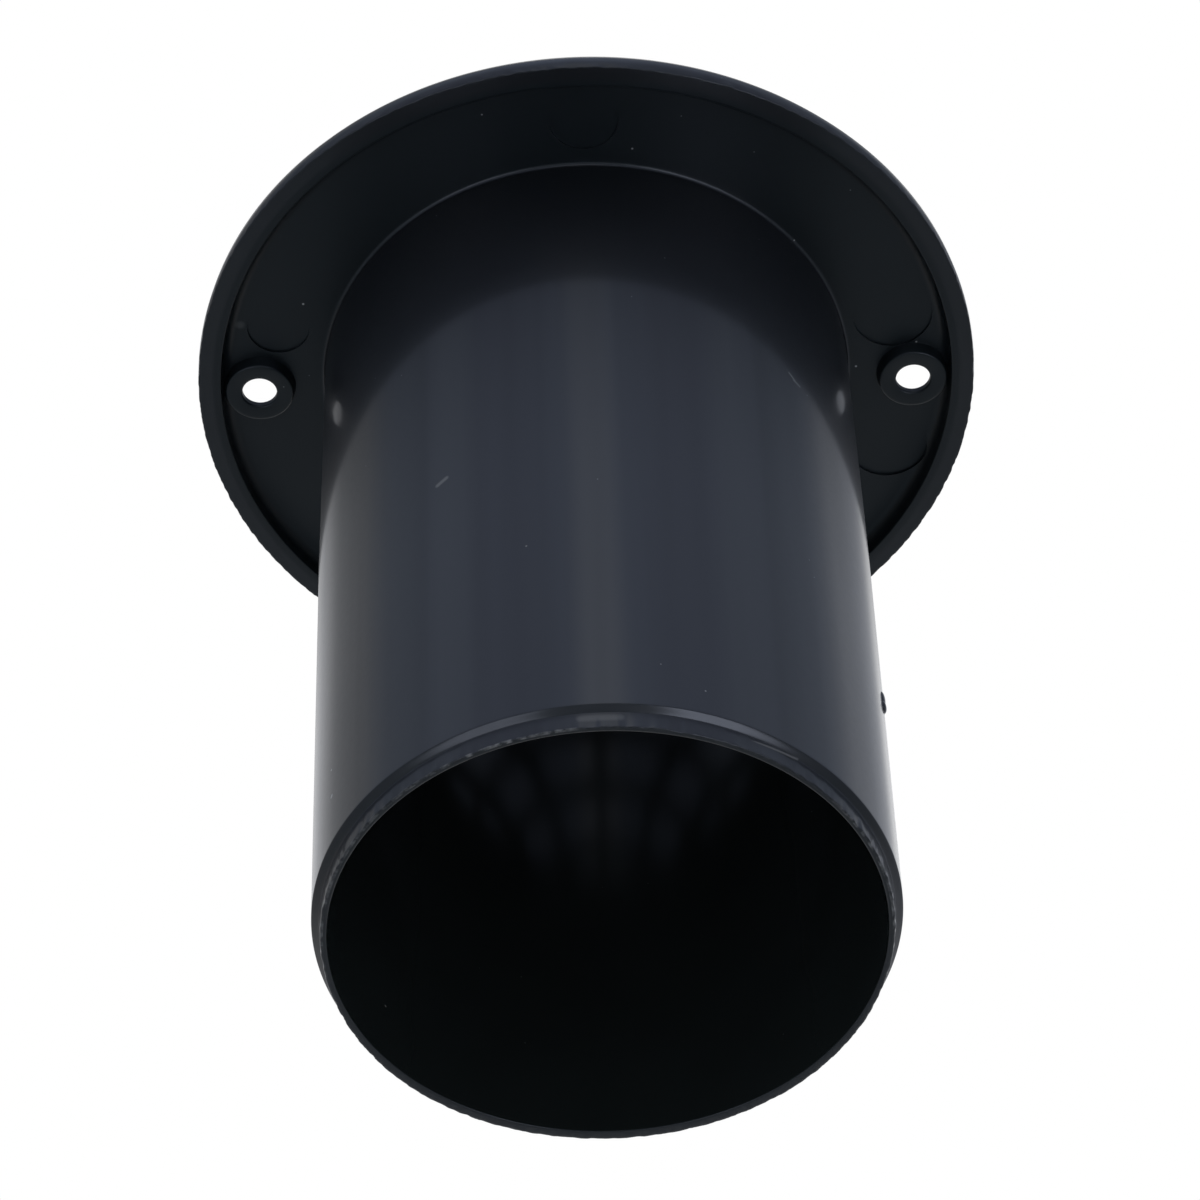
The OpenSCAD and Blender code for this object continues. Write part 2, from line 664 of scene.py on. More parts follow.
def baked(start: bpy.types.Object, name: str) -> bpy.types.Object:
    """Makes an object's evaluated shape a plain mesh of a new object, and removes the modifiers.

    Args:
        start: The object with the modifiers.
        name: Name of the new object.

    Returns:
        The new object.
    """
    graph = bpy.context.evaluated_depsgraph_get()
    data = bpy.data.meshes.new_from_object(
        start.evaluated_get(graph), preserve_all_data_layers=True, depsgraph=graph)
    data.name = name
    for place in reversed(range(len(data.materials))):
        if data.materials[place] is None:
            data.materials.pop(index=place)
    start.modifiers.clear()
    made = bpy.data.objects.new(name, data)
    bpy.context.scene.collection.objects.link(made)
    return made


def smoothed(piece: bpy.types.Object, angle: float) -> bpy.types.Object:
    """Gives a piece smooth shading that keeps its flats flat and its creases sharp.

    Args:
        piece: The piece.
        angle: Steepest turn between two faces that is still shaded smoothly.

    Returns:
        The piece with a plain mesh.
    """
    piece.data.shade_smooth()
    piece.data.set_sharp_from_angle(angle=angle)
    weighted = piece.modifiers.new("flats", "WEIGHTED_NORMAL")
    weighted.keep_sharp = True
    name = piece.name
    piece.name = piece.data.name = f"{name}_raw"
    made = baked(piece, name)
    bpy.data.objects.remove(piece)
    return made


@dataclass(frozen=True)
class Burr:
    """Small lens-shaped burr on the outside of the spigot."""

    angle: float = math.radians(-10.0)
    height: float = -60.7 * MM
    length: float = 2.1 * MM
    width: float = 1.7 * MM
    proud: float = 0.33 * MM

    def model(self, radius: float) -> bpy.types.Object:
        """Makes its closed mesh.

        Args:
            radius: Radius of the wall that it stands on.

        Returns:
            The mesh's object.
        """
        mesh = bmesh.new()
        bmesh.ops.create_icosphere(mesh, subdivisions=4, radius=1.0)
        bmesh.ops.scale(mesh, vec=(self.proud, self.width / 2, self.length / 2), verts=mesh.verts)
        bmesh.ops.translate(mesh, vec=(radius, 0.0, self.height), verts=mesh.verts)
        turn = Matrix.Rotation(self.angle, 3, "Z")
        bmesh.ops.rotate(mesh, cent=(0.0, 0.0, 0.0), matrix=turn, verts=mesh.verts)
        return mesh_object("burr", mesh)


@dataclass(frozen=True)
class PinMark:
    """Round mark that an ejector pin left in the back of the flange."""

    circle: float
    angle: float
    diameter: float

    def place(self) -> tuple[float, float, float]:
        """Its middle, in the XY plane."""
        return (self.circle * math.cos(self.angle), self.circle * math.sin(self.angle), 0.0)


@dataclass
class VentMoulding:
    """The whole vent, which is one injection moulding."""

    sizes: VentSizes
    openings: Openings = field(default_factory=Openings)
    segments: int = 720
    small_segments: int = 96
    spindle: float = 10.0 * MM
    past: float = 1.0 * MM
    head_radius: float = 3.9 * MM
    head_sink: float = 0.5 * MM
    boss_height: float = 1.4 * MM
    boss_radius: float = 3.9 * MM
    boss_draft: float = math.radians(12)
    hole_edge: float = 0.22 * MM
    mark_depth: float = 0.25 * MM
    marks: tuple[PinMark, ...] = (
        PinMark(36.4 * MM, math.radians(-90.0), 7.8 * MM),
        PinMark(36.4 * MM, math.radians(-166.7), 7.2 * MM),
        PinMark(36.4 * MM, math.radians(-13.5), 9.2 * MM),
        PinMark(37.2 * MM, math.radians(17.0), 9.2 * MM),
    )
    burrs: tuple[Burr, ...] = (
        Burr(),
        Burr(height=-61.8 * MM, length=1.1 * MM, proud=0.36 * MM),
    )
    burr_radius: float = 30.15 * MM
    smooth_angle: float = math.radians(32)
    lip_runout: float = 0.55 * MM
    ragged: float = 0.07 * MM

    def body_section(self) -> Section:
        """Half-section of the turned body.

        Returns:
            The section, from the front face round to the back of the bars.
        """
        z = self.sizes
        bar_z = z.flange_height - z.bar_depth
        skirt_top = z.skirt_radius - z.web_height * math.tan(z.skirt_draft)
        step_z = z.mouth_length - z.spigot_length
        shoulder_z = step_z - z.shoulder_height
        lip = z.step_radius - z.mouth_step
        return Section([
            (z.flange_radius - 2 * z.edge_radius, z.flange_height, 0.0),
            (z.flange_radius, z.flange_height, z.edge_radius),
            (z.flange_radius, 0.0, 0.12 * MM),
            (z.skirt_radius, 0.0, 0.12 * MM),
            (skirt_top, z.web_height, z.edge_radius - (z.flange_height - z.web_height)),
            (z.register_radius, z.web_height, z.root_radius),
            (z.register_radius, -z.register_length, 0.0),
            (z.step_radius, step_z, 0.1 * MM),
            (lip, shoulder_z, 0.15 * MM),
            (lip - z.mouth_taper, -z.spigot_length, 0.12 * MM),
            (z.socket_radius, -z.spigot_length, 0.1 * MM),
            (z.socket_radius, z.socket_length - z.spigot_length, 0.0),
            (z.bore_top_radius, bar_z, 0.4 * MM),
            (z.bore_top_radius - self.spindle / 10, bar_z, 0.0),
        ])

    def boss_section(self) -> Section:
        """Half-section of a screw boss.

        Returns:
            The section, from inside the web down to its end.
        """
        z = self.sizes
        end = z.web_height - self.boss_height
        base = self.boss_radius + self.boss_height * math.tan(self.boss_draft)
        inside = (z.flange_height + z.web_height) / 2
        return Section([
            (0.0, inside, 0.0), (base, inside, 0.0), (base, z.web_height, 0.0),
            (self.boss_radius, end, 0.2 * MM), (0.0, end, 0.0)])

    def screw_section(self) -> Section:
        """Half-section of what a screw and its head take out.

        Returns:
            The section, with rounded edges at both faces.
        """
        z = self.sizes
        low, high = z.web_height - self.boss_height, z.flange_height
        cone = high - self.head_sink
        edge = self.hole_edge
        return Section([
            (0.0, high + self.past, 0.0), (self.head_radius + edge, high + self.past, 0.0),
            (self.head_radius + edge, high, 0.0), (self.head_radius, high, edge),
            (self.head_radius, cone, 0.1 * MM),
            (z.screw_radius, cone - (self.head_radius - z.screw_radius), 0.1 * MM),
            (z.screw_radius, low, edge), (z.screw_radius + edge, low, 0.0),
            (z.screw_radius + edge, low - self.past, 0.0), (0.0, low - self.past, 0.0)], guard=0.1 * MM)

    def field_section(self) -> Section:
        """Half-section of the round field that cuts off the openings.

        Returns:
            The section, flared as the openings are.
        """
        z = self.sizes
        bar_z = z.flange_height - z.bar_depth
        radius = self.openings.field_radius(z)
        flare = self.openings.flare(bar_z, z.flange_height, self.past / 2)
        return Section([
            (0.0, flare[-1][1], 0.0),
            *((radius + out, height, 0.0) for out, height in reversed(flare)),
            (0.0, flare[0][1], 0.0)])

    def mark_section(self) -> Section:
        """Half-section of what a pin mark takes out of the web.

        Returns:
            The section, for a radius of one.
        """
        z = self.sizes
        return Section([
            (0.0, z.web_height + self.mark_depth, 0.0), (1.0, z.web_height + self.mark_depth, 0.0),
            (1.0, z.web_height - self.past, 0.0), (0.0, z.web_height - self.past, 0.0)])

    def unevenness(self, recipe: Recipe) -> Value:
        """How far the moulding departs from its true shape at its edges.

        The stepped end of the spigot runs out to one side, and the edge of the flange's seat and the outer
        edge of the mouth are slightly ragged.

        Args:
            recipe: The tree that asks for it.

        Returns:
            The move of each vertex.
        """
        z = self.sizes
        place = recipe.node("GeometryNodeInputPosition")
        x, y, height = recipe.parts(place)
        radius = (x * x + y * y).math("SQRT").larger(MM)
        step_z = z.mouth_length - z.spigot_length
        outer = radius > z.socket_radius + 0.3 * MM
        down = ((step_z - height) / z.shoulder_height).larger(0.0).smaller(1.0)
        runout = (y / radius).band(0.1, 1.0) * self.lip_runout * down * outer
        noise = recipe.node("ShaderNodeTexNoise", {}, {"Vector": place, "Scale": 900.0, "Detail": 2.0})
        seat = radius.band(z.flange_radius - 1.0 * MM, z.flange_radius - 0.3 * MM)
        seat = seat * height.band(0.5 * MM, 0.1 * MM)
        rim = height.band(1.0 * MM - z.spigot_length, 0.1 * MM - z.spigot_length) * outer
        rough = (noise - 0.62).smaller(0.0) * 6.0 * self.ragged * (seat + rim)
        push = (runout + rough) / radius
        return recipe.node("ShaderNodeCombineXYZ", {}, {0: x * push, 1: y * push})

    def bore_faces(self, recipe: Recipe) -> Value:
        """Picks the faces inside the spigot, up to the back of the grille.

        Args:
            recipe: The tree that asks for them.

        Returns:
            One on those faces.
        """
        z = self.sizes
        x, y, height = recipe.parts(recipe.node("GeometryNodeInputPosition"))
        radius = (x * x + y * y).math("SQRT")
        inside = radius < z.socket_radius + 0.05 * MM
        return inside * (height < z.flange_height - z.bar_depth + 0.05 * MM)

    def build(self, outside: bpy.types.Material, bore: bpy.types.Material) -> bpy.types.Object:
        """Makes the moulding's mesh.

        Args:
            outside: Finish of the outer faces.
            bore: Finish inside the spigot.

        Returns:
            The piece.
        """
        z = self.sizes
        recipe = Recipe("moulding")
        segments = recipe.given("Segments", "Int", self.segments)
        few = recipe.given("Segments of small rounds", "Int", self.small_segments)
        spindle = recipe.given("Spindle radius", "Float", self.spindle)
        parts = {
            **{f"burr_{place}": burr.model(self.burr_radius) for place, burr in enumerate(self.burrs)},
            "mark_places": point_object("mark_places", [mark.place() for mark in self.marks],
                                        [mark.diameter / 2 for mark in self.marks]),
            "boss": self.boss_section().curve("boss_section"),
            "screw": self.screw_section().curve("screw_section"),
            "field": self.field_section().curve("field_section"),
            "mark": self.mark_section().curve("mark_section"),
            "plug": self.openings.plug(z, self.past),
            "middles": point_object("opening_middles", [(x, y, 0.0) for x, y in self.openings.middles(z)]),
            "screws": point_object("screw_places", [(side * z.screw_circle, 0.0, 0.0) for side in (-1, 1)]),
        }
        models = {name: recipe.model(name.capitalize(), made) for name, made in parts.items()}
        caps = [(z.flange_radius - 2 * z.edge_radius, z.flange_height),
                (z.bore_top_radius - self.spindle / 10, z.flange_height - z.bar_depth)]
        body = recipe.turned(recipe.start, segments, spindle, caps)
        bosses = recipe.copies(models["screws"], recipe.turned(models["boss"], few, spindle))
        burrs = [models[name] for name in models if name.startswith("burr_")]
        solid = recipe.solid(Solver.JOIN, body, bosses, *burrs)
        plugs = recipe.copies(models["middles"], models["plug"])
        clipped = recipe.solid(Solver.COMMON, plugs, recipe.turned(models["field"], segments, spindle))
        screws = recipe.copies(models["screws"], recipe.turned(models["screw"], few, spindle))
        marks = recipe.copies(models["mark_places"], recipe.turned(models["mark"], few, spindle), sized=True)
        marks = recipe.solid(Solver.CUT, marks, bosses)
        solid = recipe.solid(Solver.CUT, solid, clipped, screws, marks)
        solid = recipe.moved(solid, self.unevenness(recipe))
        solid = recipe.node("GeometryNodeRealizeInstances", {}, {0: solid})
        solid = recipe.painted(solid, recipe.given("Outside finish", "Material", outside))
        solid = recipe.painted(solid, recipe.given("Bore finish", "Material", bore), self.bore_faces(recipe))
        start = self.body_section().curve("body_section")
        made = recipe.run(solid, start, "vent_moulding")
        for helper in (start, *parts.values()):
            bpy.data.objects.remove(helper)
        return smoothed(made, self.smooth_angle)


@dataclass(frozen=True)
class Fleck:
    """Speck of dust, or a scratch where it has a second end, in millimetres."""

    start: tuple[float, float, float]
    end: tuple[float, float, float] | None = None
    radius: float = 0.1
    strength: float = 1.0

    def on_wall(self, sizes: VentSizes) -> "Fleck":
        """The same fleck, moved onto the outside of the spigot.

        Args:
            sizes: The vent's sizes.

        Returns:
            The moved fleck.
        """
        ends = [self._moved(sizes, point) for point in (self.start, self.end) if point is not None]
        return Fleck(ends[0], ends[1] if len(ends) > 1 else None, self.radius, self.strength)

    @staticmethod
    def _moved(sizes: VentSizes, point: tuple[float, float, float]) -> tuple[float, float, float]:
        """Moves a point onto the drafted wall.

        Args:
            sizes: The vent's sizes.
            point: The point, in millimetres.

        Returns:
            The point at its own height and angle.
        """
        foot = sizes.mouth_length - sizes.spigot_length
        share = (-sizes.register_length - point[2] * MM) / (-sizes.register_length - foot)
        share = max(0.0, min(1.0, share))
        radius = sizes.register_radius + (sizes.step_radius - sizes.register_radius) * share
        grown = radius / MM / math.hypot(point[0], point[1])
        return (point[0] * grown, point[1] * grown, point[2])


class Shader(Graph):
    """A material's node tree, which starts from Object coordinates."""

    def __init__(self, name: str) -> None:
        """Makes the material."""
        self.material = bpy.data.materials.new(name)
        self.material.use_nodes = True
        super().__init__(self.material.node_tree)
        self.place = self.node("ShaderNodeTexCoord", output="Object")
        self.x, self.y, self.z = self.parts(self.place)
        self.radius = (self.x * self.x + self.y * self.y).math("SQRT")

    def noise(self, scale: float, detail: float = 2.0, upright: float = 1.0) -> Value:
        """Noise about 0, from -0.5 to 0.5.

        Args:
            scale: Features per metre.
            detail: How many finer layers it has.
            upright: Share of the scale that is kept along Z, small for streaks that run along it.

        Returns:
            The noise.
        """
        place = self.vector("MULTIPLY", self.place, (1.0, 1.0, upright))
        return self.node("ShaderNodeTexNoise", {}, {"Vector": place, "Scale": scale, "Detail": detail}) - 0.5

    def dust(self, cell: float, grain: float, share: float) -> Value:
        """Sparse dust that settled at random.

        Args:
            cell: Size of the cells that hold one grain each.
            grain: Radius of a grain.
            share: Share of the cells that have one.

        Returns:
            One on each grain.
        """
        settings, inputs = {"feature": "F1"}, {"Vector": self.place, "Scale": 1.0 / cell, "Randomness": 1.0}
        far = self.node("ShaderNodeTexVoronoi", settings, inputs, "Distance")
        pick = self.parts(self.node("ShaderNodeTexVoronoi", settings, inputs, "Color"))[0]
        return far.band(1.3 * grain / cell, 0.6 * grain / cell) * (pick < share)

    def fleck(self, fleck: Fleck) -> Value:
        """Makes the mask of one fleck.

        Args:
            fleck: The fleck.

        Returns:
            Its strength, fading at its edge.
        """
        start = Vector(fleck.start) * MM
        way = self.vector("SUBTRACT", self.place, tuple(start))
        if fleck.end is not None:
            along = Vector(fleck.end) * MM - start
            share = self.vector("DOT_PRODUCT", way, tuple(along / along.length_squared), output="Value")
            share = share.larger(0.0).smaller(1.0)
            nearest = self.node("ShaderNodeVectorMath", {"operation": "SCALE"}, {
                0: tuple(along), "Scale": share})
            way = self.vector("SUBTRACT", way, nearest)
        far = self.vector("LENGTH", way, output="Value")
        return far.band(1.5 * fleck.radius * MM, 0.4 * fleck.radius * MM) * fleck.strength

    def all_flecks(self, flecks: Iterable[Fleck], first: Value) -> Value:
        """Joins the masks of many flecks.

        Args:
            flecks: The flecks.
            first: A mask that they are laid over.

        Returns:
            The strongest of all at each place.
        """
        most = first
        for fleck in flecks:
            most = most.larger(self.fleck(fleck))
        return most

    def finish(self, surface: Value) -> bpy.types.Material:
        """Links the surface to the output and gives the material."""
        self.close("ShaderNodeOutputMaterial", surface)
        return self.material


@dataclass(frozen=True)
class OuterFinish:
    """Black moulded plastic outside: a glossy wall with draw streaks, a satin flange back, and a lip edge
    whitened by wear with a painted glint.
    """

    sizes: VentSizes
    name: str = "moulded_black"
    wall_colour: tuple[float, float, float] = (0.0055, 0.0065, 0.0085)
    back_colour: tuple[float, float, float] = (0.0050, 0.0078, 0.0100)
    # Colour of dust and scratches, also used for the painted glint on the lip's edge.
    pale: tuple[float, float, float] = (0.34, 0.36, 0.39)
    wall_roughness: float = 0.42
    back_roughness: float = 0.38
    specular: float = 0.29
    gloss: float = 0.55
    gloss_roughness: float = 0.12
    back_flecks: tuple[Fleck, ...] = (
        Fleck((5.4, -32.4, 2.2), radius=0.11), Fleck((0.0, -32.8, 2.2), radius=0.08),
        Fleck((-1.3, -32.9, 2.2), radius=0.08), Fleck((-32.4, -11.7, 2.2), radius=0.12),
        Fleck((-40.4, -10.6, 2.2), radius=0.10), Fleck((-11.3, -37.4, 2.2), radius=0.09),
        Fleck((38.3, -4.4, 2.2), radius=0.10), Fleck((31.4, -1.0, 2.2), radius=0.12),
        Fleck((23.8, -19.3, 2.2), radius=0.08), Fleck((-41.1, -7.6, 2.2), (-40.7, -8.1, 2.2), 0.07),
        Fleck((-39.8, -8.9, 2.2), radius=0.5, strength=0.10),
    )
    wall_flecks: tuple[Fleck, ...] = (
        Fleck((9.9, -28.5, -84.4), radius=0.09, strength=0.7),
        Fleck((5.6, -29.7, -81.6), radius=0.07, strength=0.6),
        Fleck((-7.4, -29.3, -62.8), radius=0.10, strength=0.6),
        Fleck((-27.8, -11.9, -76.7), radius=0.12),
        Fleck((-27.7, -12.1, -80.8), radius=0.26),
        Fleck((-15.55, -25.9, -47.55), (-16.45, -25.3, -48.05), 0.27, 0.30),
        Fleck((21.5, -21.2, -25.0), (22.1, -20.6, -25.6), 0.15, 0.28),
        Fleck((22.0, -20.7, -25.7), (22.6, -20.1, -25.9), 0.20, 0.22),
    )
    lip_flecks: tuple[Fleck, ...] = (
        Fleck((3.7, -29.1, -90.0), radius=0.15),
        Fleck((14.3, -25.6, -88.6), (18.8, -22.5, -88.2), 0.13, 0.30),
        Fleck((-2.5, -29.2, -88.8), (1.4, -29.3, -88.8), 0.40, 0.16),
    )

    def build(self) -> bpy.types.Material:
        """Makes the material.

        Returns:
            The material.
        """
        shader = Shader(self.name)
        back = shader.radius.band(30.3 * MM, 30.9 * MM) * shader.radius.band(43.6 * MM, 43.0 * MM)
        back = back * shader.z.band(-0.30 * MM, -0.05 * MM) * shader.z.band(3.2 * MM, 2.8 * MM)
        streaks = shader.noise(420.0, 3.0, 0.012)
        cloud = shader.noise(45.0, 2.0)
        grain = shader.noise(1400.0, 3.0)
        pale = self._dust_and_glint(shader)
        rough = self.wall_roughness + (self.back_roughness - self.wall_roughness) * back
        rough = rough + cloud * 0.06 + grain * 0.05
        colour = shader.mix(back, rgba(self.wall_colour), rgba(self.back_colour))
        share = (cloud * 1.6 + 0.5).larger(0.0).smaller(1.0)
        tint = shader.mix(share, rgba((0.80, 0.84, 0.88)), rgba((1.18, 1.14, 1.12)))
        colour = shader.node("ShaderNodeMix", {"data_type": "RGBA", "blend_type": "MULTIPLY"}, {
            0: 1.0, 6: colour, 7: tint}, 2)
        # Base colour: the plastic, with dust, scratches and the painted glint on the lip's edge laid over it
        # in the pale colour.
        surface = shader.node("ShaderNodeBsdfPrincipled", {}, {
            "Base Color": shader.mix(pale, colour, rgba(self.pale)),
            "Roughness": (rough + pale * 0.3).smaller(0.8),
            "Specular IOR Level": self.specular,
            "IOR": 1.5,
            "Coat Weight": (1 - back * 0.75) * (1 - pale) * (self.gloss + streaks * 0.25),
            "Coat Roughness": self.gloss_roughness,
            "Coat IOR": 1.5,
        })
        return shader.finish(surface)

    def _dust_and_glint(self, shader: Shader) -> Value:
        """Makes the mask of dust, scratches and the lip's edge: a faint whitening from wear all round, and a
        painted glint in two arcs on the side towards the camera.

        Args:
            shader: The material's tree.

        Returns:
            How much of the surface they cover.
        """
        z = self.sizes
        ragged = (shader.noise(1100.0, 4.0) * 4.0 + 0.25).larger(0.0).smaller(1.0)
        # Painted glint: the lip's outer edge is paler on the side towards the camera (y below 0), strongest
        # in one arc on the left and one on the right, where the highlights fall.
        across = shader.x / shader.radius.larger(MM)
        left_glint = across.band(-0.05, -0.18) * (across.band(-0.62, -0.40) * 0.55 + 0.45)
        near = left_glint.larger(across.band(0.72, 0.86) * 0.7) * (shader.y < 0.0)
        face = (shader.z + z.spigot_length).band(0.16 * MM, 0.08 * MM)
        face = face * (shader.radius > z.step_radius - 1.25 * MM)
        # A faint whitening from wear runs all round the edge; the rest of this paleness is the painted glint.
        wear_and_glint = face * ragged * (near * 0.42 + 0.03)
        dust = shader.dust(3.6 * MM, 0.075 * MM, 0.55) * 0.45
        flecks = [*self.back_flecks, *(fleck.on_wall(z) for fleck in self.wall_flecks), *self.lip_flecks]
        return shader.all_flecks(flecks, wear_and_glint.larger(dust))


@dataclass(frozen=True)
class BoreFinish:
    """Black moulded plastic inside the spigot, duller and a little dusty."""

    name: str = "moulded_bore"
    colour: tuple[float, float, float] = (0.0115, 0.0150, 0.0162)
    pale: tuple[float, float, float] = (0.16, 0.17, 0.17)
    roughness: float = 0.15
    specular: float = 0.155
    flecks: tuple[Fleck, ...] = (
        Fleck((-23.1, 16.4, -82.6), radius=0.14),
    )

    def build(self) -> bpy.types.Material:
        """Makes the material.

        Returns:
            The material.
        """
        shader = Shader(self.name)
        streaks = shader.noise(300.0, 2.0, 0.02)
        cloud = shader.noise(60.0, 2.0)
        pale = shader.all_flecks(self.flecks, shader.dust(4.5 * MM, 0.08 * MM, 0.4) * 0.3)
        tint = (cloud * 1.4 + 0.5).larger(0.0).smaller(1.0)
        shades = [tuple(part * share for part in self.colour) for share in (0.82, 1.18)]
        colour = shader.mix(tint, rgba(shades[0]), rgba(shades[1]))
        surface = shader.node("ShaderNodeBsdfPrincipled", {}, {
            "Base Color": shader.mix(pale, colour, rgba(self.pale)),
            "Roughness": self.roughness + streaks * 0.05 + cloud * 0.04 + pale * 0.3,
            "Specular IOR Level": self.specular,
            "IOR": 1.5,
        })
        return shader.finish(surface)


@dataclass(frozen=True)
class Card:
    """Upright soft card of the studio, in degrees from the front towards +X."""

    azimuth: float
    half: float
    soft: float
    colour: tuple[float, float, float]

    def shows(self, across: Value) -> Value:
        """One where the card stands, falling to 0 at its edges."""
        return across.near(math.radians(self.azimuth), math.radians(self.half), math.radians(self.soft))


@dataclass(frozen=True)
class Studio:
    """Plain soft studio: a white background, soft cards round the vent and a pale floor."""

    floor_radius: float = 0.9
    cards_radius: float = 2.0
    ambient: float = 0.55
    walls: tuple[float, float, float] = (0.29, 0.34, 0.44)
    upright: tuple[Card, ...] = (
        Card(0.0, 58.0, 22.0, (0.40, 0.46, 0.63)),
        Card(-60.0, 3.0, 12.0, (0.44, 0.51, 0.66)),
        Card(60.0, 3.0, 12.0, (0.43, 0.50, 0.65)),
        Card(0.0, 10.0, 22.0, (0.48, 0.57, 0.79)),
        Card(130.0, 12.0, 22.0, (0.52, 0.55, 0.62)),
        Card(-125.0, 14.0, 22.0, (0.37, 0.38, 0.40)),
        Card(-180.0, 16.0, 42.0, (1.05, 1.06, 1.09)),
        Card(180.0, 8.0, 40.0, (1.05, 1.06, 1.09)),
        Card(161.0, 4.0, 14.0, (1.35, 1.36, 1.38)),
    )
    strip: Card = Card(0.0, 4.0, 9.0, (0.92, 1.00, 1.16))
    low: tuple[float, float, float] = (0.16, 0.20, 0.24)
    low_card: tuple[float, float, float] = (3.1, 3.4, 4.2)
    shade_reach: float = 80.0 * MM
    shade: float = 0.40

    def build(self, sizes: VentSizes) -> None:
        """Makes the world, the cards and the floor.

        Args:
            sizes: The vent's sizes.
        """
        self.world()
        self.cards(sizes)
        self.table_shade(sizes)
        self.floor(sizes)

    def world(self) -> None:
        """White for what sees the background, and a soft grey for what it lights."""
        world = bpy.data.worlds.new("studio")
        bpy.context.scene.world = world
        world.use_nodes = True
        graph = Graph(world.node_tree)
        background = graph.node("ShaderNodeBackground", {}, {
            "Color": graph.mix(self._seen(graph), rgba((self.ambient,) * 3), rgba((1.0, 1.0, 1.0))),
            "Strength": 1.0})
        graph.close("ShaderNodeOutputWorld", background)

    @staticmethod
    def _seen(graph: Graph) -> Value:
        """Finds the rays that show the background itself.

        Args:
            graph: The tree that asks for them.

        Returns:
            One for a ray that sees it straight, or in gloss or glass.
        """
        seen = graph.node("ShaderNodeLightPath", output="Is Camera Ray")
        for name in ("Is Glossy Ray", "Is Transmission Ray"):
            seen = seen.larger(graph.node("ShaderNodeLightPath", output=name))
        return seen

    def cards(self, sizes: VentSizes) -> None:
        """The soft cards that the gloss reflects, as one dome whose glow changes with direction.

        Args:
            sizes: The vent's sizes.
        """
        mesh = bmesh.new()
        bmesh.ops.create_icosphere(mesh, subdivisions=4, radius=self.cards_radius)
        dome = mesh_object("studio_cards", mesh)
        shader = Shader("studio_cards")
        across = shader.node("ShaderNodeMath", {"operation": "ARCTAN2"}, {0: shader.x, 1: 0.0 - shader.y})
        height = shader.z / self.cards_radius
        sky = rgba(self.walls)
        for card in self.upright:
            sky = shader.mix(card.shows(across), sky, rgba(card.colour))
        side = (shader.x / self.cards_radius).band(0.5, -0.5) * 0.45 + 0.80
        low = shader.node("ShaderNodeVectorMath", {"operation": "SCALE"}, {0: self.low, "Scale": side})
        base = shader.mix(height.band(-0.35, -0.75), sky, low)
        strip = self.strip.shows(across) * height.band(0.84, 0.66) * height.band(-0.75, -0.35)
        aside = abs(shader.x / self.cards_radius)
        pair = aside.band(0.16, 0.30) * aside.band(0.66, 0.46) * height.band(-0.79, -0.85)
        towards = shader.y / self.cards_radius
        pair = pair * towards.band(0.05, -0.10) * towards.band(-0.52, -0.38)
        pair = pair * ((shader.x / self.cards_radius).band(-0.2, 0.2) * 0.4 + 0.6)
        glow = shader.mix(pair, shader.mix(strip, base, rgba(self.strip.colour)), rgba(self.low_card))
        shader.finish(shader.node("ShaderNodeEmission", {}, {"Color": glow, "Strength": 1.0}))
        shader.material.cycles.emission_sampling = "NONE"
        self._reflected_only(dome, shader.material, -sizes.spigot_length / 2)

    def table_shade(self, sizes: VentSizes) -> None:
        """The soft shade round the flange that the gloss reflects, as on a table under it.

        Args:
            sizes: The vent's sizes.
        """
        mesh = bmesh.new()
        bmesh.ops.create_circle(mesh, cap_ends=True, segments=128, radius=2 * self.shade_reach)
        card = mesh_object("table_shade", mesh)
        shader = Shader("table_shade")
        fade = shader.radius.band(self.shade_reach, sizes.flange_radius - 8 * MM) * self.shade
        clear = shader.node("ShaderNodeBsdfTransparent")
        dark = shader.node("ShaderNodeEmission", {}, {"Color": rgba((0.0, 0.0, 0.0)), "Strength": 0.0})
        shader.finish(shader.node("ShaderNodeMixShader", {}, {0: fade, 1: clear, 2: dark}))
        self._reflected_only(card, shader.material, sizes.flange_height + 0.5 * MM)

    @staticmethod
    def _reflected_only(card: bpy.types.Object, material: bpy.types.Material, height: float) -> None:
        """Finishes a card that shows only in reflections.

        Args:
            card: The card.
            material: What it is made of.
            height: How far it is raised.
        """
        card.data.materials.append(material)
        card.data.transform(Matrix.Translation((0.0, 0.0, height)))
        for ray in ("camera", "diffuse", "transmission", "volume_scatter", "shadow"):
            setattr(card, f"visible_{ray}", False)

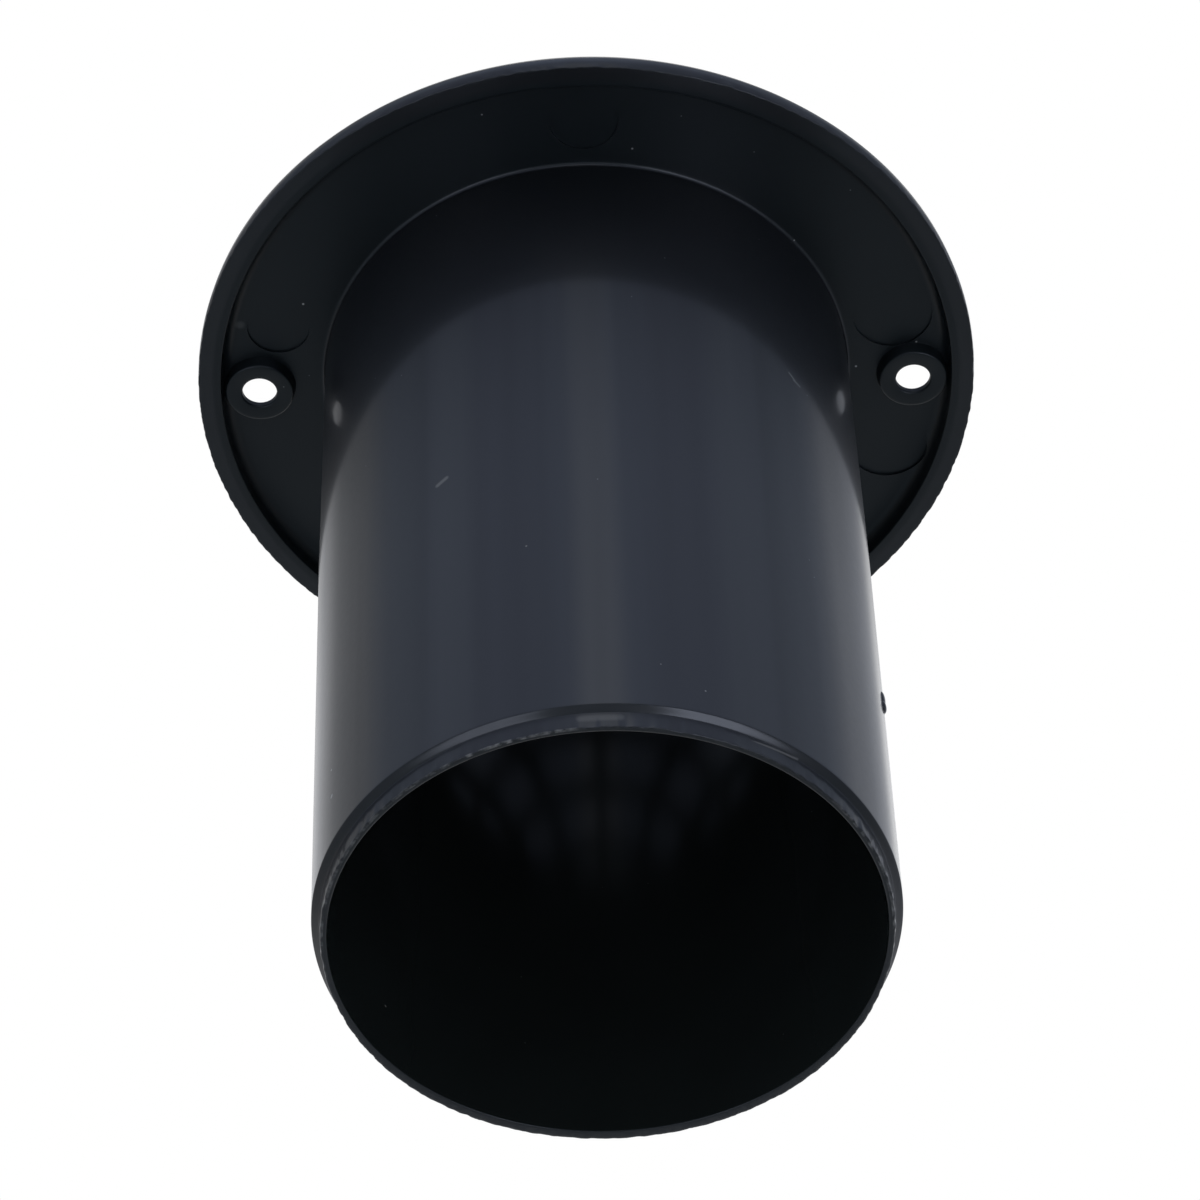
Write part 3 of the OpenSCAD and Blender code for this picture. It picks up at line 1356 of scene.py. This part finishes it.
    def floor(self, sizes: VentSizes) -> None:
        """The pale floor under the mouth of the spigot, which shows only from above.

        Args:
            sizes: The vent's sizes.
        """
        mesh = bmesh.new()
        bmesh.ops.create_circle(mesh, cap_ends=True, segments=128, radius=self.floor_radius)
        floor = mesh_object("pale_floor", mesh)
        shader = Shader("pale_floor")
        above = 1 - shader.node("ShaderNodeNewGeometry", output="Backfacing")
        eye = shader.node("ShaderNodeLightPath", output="Is Camera Ray")
        rim = shader.radius.band(self.floor_radius, self.floor_radius / 3)
        tone = shader.noise(6.0, 3.0) * 0.02
        paint = shader.node("ShaderNodeBsdfDiffuse", {}, {"Color": shader.node(
            "ShaderNodeCombineColor", {}, {0: tone + 0.80, 1: tone + 0.80, 2: tone + 0.81})})
        glow = shader.node("ShaderNodeEmission", {}, {"Color": rgba((1.0, 1.0, 1.0)), "Strength": 0.50})
        lit = shader.node("ShaderNodeAddShader", {}, {0: paint, 1: glow})
        clear = shader.node("ShaderNodeBsdfTransparent")
        shader.finish(shader.node("ShaderNodeMixShader", {}, {0: above * eye * rim, 1: clear, 2: lit}))
        shader.material.cycles.emission_sampling = "NONE"
        floor.data.materials.append(shader.material)
        floor.data.transform(Matrix.Translation((0.0, 0.0, -sizes.spigot_length)))
        floor.visible_shadow = False


@dataclass(frozen=True)
class Viewpoint:
    """Where the vent is seen from, in its own frame."""

    azimuth: float = math.radians(-1.25)
    elevation: float = math.radians(-51.99)
    distance: float = 523.46 * MM
    yaw: float = 0.0011
    pitch: float = 0.0466
    roll: float = 0.0385
    lens: float = 135.1
    sensor: float = 36.0

    def build(self) -> bpy.types.Object:
        """Makes the camera.

        Returns:
            The camera, which is the scene's.
        """
        data = bpy.data.cameras.new("camera")
        data.sensor_fit = "HORIZONTAL"
        data.sensor_width = self.sensor
        data.lens = self.lens
        data.clip_start = 10 * MM
        made = bpy.data.objects.new("camera", data)
        bpy.context.scene.collection.objects.link(made)
        towards = Vector((0.0, math.cos(self.elevation), -math.sin(self.elevation)))
        right = Vector((1.0, 0.0, 0.0))
        facing = Matrix((right, right.cross(towards), -towards)).transposed()
        aim = (Matrix.Rotation(-self.yaw, 3, "Y") @ Matrix.Rotation(-self.pitch, 3, "X")
               @ Matrix.Rotation(-self.roll, 3, "Z"))
        turn = Matrix.Rotation(self.azimuth, 3, "Z")
        place = turn @ (-towards * self.distance)
        made.matrix_world = Matrix.Translation(place) @ (turn @ facing @ aim).to_4x4()
        bpy.context.scene.camera = made
        return made


def main() -> None:
    """Builds the vent, the stage and the camera."""
    logging.basicConfig(level=logging.INFO, format="%(name)s: %(message)s")
    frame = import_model()
    sizes = VentSizes.from_frame(frame)
    LOG.info("sizes: %s", sizes)
    outside = OuterFinish(sizes).build()
    bore = BoreFinish().build()
    vent = VentMoulding(sizes).build(outside, bore)
    LOG.info("%s: %d faces in %s and %s", vent.name, len(vent.data.polygons), outside.name, bore.name)
    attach(vent, BODY)
    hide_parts(NODE)
    bpy.context.scene.view_settings.view_transform = "Standard"
    Studio().build(sizes)
    camera = Viewpoint().build()
    LOG.info("stage and %s: set", camera.name)


if __name__ == "__main__":
    main()
